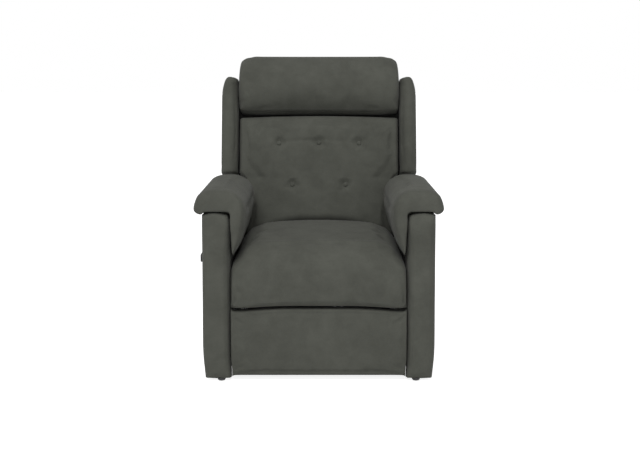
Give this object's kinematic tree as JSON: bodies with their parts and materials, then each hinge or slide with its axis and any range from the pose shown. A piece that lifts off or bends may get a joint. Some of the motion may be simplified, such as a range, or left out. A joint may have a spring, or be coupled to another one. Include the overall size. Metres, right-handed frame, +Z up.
{
  "type": "lift chair",
  "caption": "Upholstered power lift recliner: tufted back, headrest pillow, padded arms, fold-out footrest, and a steel base that raises and tips the seat.",
  "frame": {"origin": "on the floor, under the middle of the chair's outline", "axes": "+Z up, the sitter looks along -Y, +X to the right as seen from the front"},
  "size_m": [0.804, 0.8714, 1.0616],
  "materials": {
    "upholstery": "brushed suede",
    "wood": "raw board",
    "lined_board": "board wrapped in dark cloth",
    "black_steel": "satin powder coat",
    "zinc_steel": "zinc plated",
    "black_plastic": "fine grain",
    "grey_plastic": "smooth",
    "webbing": "woven strap",
    "rubber": "matte"
  },
  "bodies": {
    "base": {"base_rail_left": "black_steel", "base_rail_right": "black_steel", "base_cross_tube_front": "black_steel", "base_cross_tube_rear": "black_steel", "leveling_feet": "rubber", "lift_lugs": "black_steel", "lift_motor_clevis": "black_steel", "lift_foot_pin": "zinc_steel", "power_supply": "black_plastic"},
    "front_lift": {"front_lift_shaft": "black_steel", "front_lift_links": "black_steel"},
    "rear_lift": {"rear_lift_shaft": "black_steel", "rear_lift_links": "black_steel"},
    "lift_motor": {"lift_motor_body": "black_plastic"},
    "lift_rod": {"lift_motor_rod": "zinc_steel"},
    "chassis": {"chassis_plate_left": "black_steel", "chassis_plate_right": "black_steel", "chassis_cross_tube_front": "black_steel", "chassis_cross_tube_rear": "black_steel", "lift_hangers": "black_steel", "lift_pivot_pins": "zinc_steel", "back_hinge_pins": "zinc_steel", "footrest_guide_pins": "zinc_steel", "recline_foot_pin": "zinc_steel", "seat_rail_front": "lined_board", "seat_rail_rear": "wood", "seat_side_rails": "wood", "seat_webbing": "webbing", "seat_cushion": "upholstery", "arm_frame_left": "lined_board", "arm_frame_right": "lined_board", "arm_side_panel_left": "upholstery", "arm_side_panel_right": "upholstery", "arm_front_post_left": "upholstery", "arm_front_post_right": "upholstery", "arm_pad_left": "upholstery", "arm_pad_right": "upholstery", "handset_pocket": "upholstery"},
    "footrest_crank": {"footrest_torque_tube": "black_steel", "footrest_crank_links": "black_steel"},
    "footrest_guide": {"footrest_guide_links": "black_steel"},
    "footrest_lower": {"footrest_lower_links": "black_steel"},
    "footrest_upper": {"footrest_upper_links": "black_steel"},
    "footrest": {"footrest_brackets": "black_steel", "footrest_board": "lined_board", "footrest_pad": "upholstery"},
    "back": {"back_frame": "lined_board", "back_rear_cover": "upholstery", "back_hinge_plates": "black_steel", "recline_crank": "black_steel", "back_cushion": "upholstery", "back_buttons": "upholstery", "headrest_pillow": "upholstery", "wing_left": "upholstery", "wing_right": "upholstery"},
    "recline_motor": {"recline_motor_body": "black_plastic"},
    "recline_rod": {"recline_motor_rod": "zinc_steel"},
    "handset": {"handset": "black_plastic"},
    "key_up": {"handset_key_up": "grey_plastic"},
    "key_down": {"handset_key_down": "grey_plastic"}
  },
  "joints": [
    {"name": "lift", "type": "hinge", "parent": "base", "child": "front_lift", "pos_m": [0, -0.27, 0.062], "axis": [1, 0, 0], "range_deg": [0, 50]},
    {"name": "chassis_tilt", "type": "hinge", "parent": "front_lift", "child": "chassis", "pos_m": [0, 0.015, 0.085], "axis": [1, 0, 0], "range_deg": [-26.27, 0]},
    {"name": "rear_link_swing", "type": "hinge", "parent": "base", "child": "rear_lift", "pos_m": [0, -0.215, 0.082], "axis": [1, 0, 0], "range_deg": [0, 42.46]},
    {"name": "lift_motor_swing", "type": "hinge", "parent": "base", "child": "lift_motor", "pos_m": [0, 0.272, 0.082], "axis": [1, 0, 0], "range_deg": [0, 1.2]},
    {"name": "lift_rod_travel", "type": "slide", "parent": "lift_motor", "child": "lift_rod", "axis": [0, -0.9921, 0.1251], "range_m": [0, 0.0442]},
    {"name": "footrest", "type": "hinge", "parent": "chassis", "child": "footrest_crank", "pos_m": [0, -0.175, 0.22], "axis": [-1, 0, 0], "range_deg": [0, 80]},
    {"name": "footrest_guide_swing", "type": "hinge", "parent": "chassis", "child": "footrest_guide", "pos_m": [0, -0.085, 0.22], "axis": [-1, 0, 0], "range_deg": [0, 80]},
    {"name": "footrest_lower_swing", "type": "hinge", "parent": "footrest_crank", "child": "footrest_lower", "pos_m": [0, -0.1057, 0.04847], "axis": [-1, 0, 0], "range_deg": [-80, 0]},
    {"name": "footrest_upper_swing", "type": "hinge", "parent": "footrest_crank", "child": "footrest_upper", "pos_m": [0, -0.12255, 0.09019], "axis": [-1, 0, 0], "range_deg": [-80, 0]},
    {"name": "footrest_board_tilt", "type": "hinge", "parent": "footrest_lower", "child": "footrest", "pos_m": [0, -0.335, 0.16], "axis": [-1, 0, 0], "range_deg": [0, 80]},
    {"name": "recline", "type": "hinge", "parent": "chassis", "child": "back", "pos_m": [0, 0.165, 0.29], "axis": [-1, 0, 0], "range_deg": [0, 40]},
    {"name": "recline_motor_swing", "type": "hinge", "parent": "chassis", "child": "recline_motor", "pos_m": [0, -0.045, 0.195], "axis": [1, 0, 0], "range_deg": [-3.88, 0]},
    {"name": "recline_rod_travel", "type": "slide", "parent": "recline_motor", "child": "recline_rod", "axis": [0, 0.9837, 0.1799], "range_m": [-0.0444, 0]},
    {"name": "handset_lift_out", "type": "slide", "parent": "chassis", "child": "handset", "axis": [0, 0, 1], "range_m": [0, 0.137]},
    {"name": "key_up_press", "type": "slide", "parent": "handset", "child": "key_up", "axis": [1, 0, 0], "range_m": [0, 0.0012], "stiffness_N_per_m": 400},
    {"name": "key_down_press", "type": "slide", "parent": "handset", "child": "key_down", "axis": [1, 0, 0], "range_m": [0, 0.0012], "stiffness_N_per_m": 400}
  ],
  "couplings": [
    {"joint": "chassis_tilt", "follows": "lift", "ratio": -0.52069},
    {"joint": "rear_link_swing", "follows": "lift", "ratio": 0.84394},
    {"joint": "lift_motor_swing", "follows": "lift", "ratio": 0.022028},
    {"joint": "lift_rod_travel", "follows": "lift", "m_per_rad": 0.049467},
    {"joint": "footrest_guide_swing", "follows": "footrest", "ratio": 1},
    {"joint": "footrest_lower_swing", "follows": "footrest", "ratio": -1},
    {"joint": "footrest_upper_swing", "follows": "footrest", "ratio": -1},
    {"joint": "footrest_board_tilt", "follows": "footrest", "ratio": 1},
    {"joint": "recline_motor_swing", "follows": "recline", "ratio": -0.09442},
    {"joint": "recline_rod_travel", "follows": "recline", "m_per_rad": -0.06215}
  ]
}
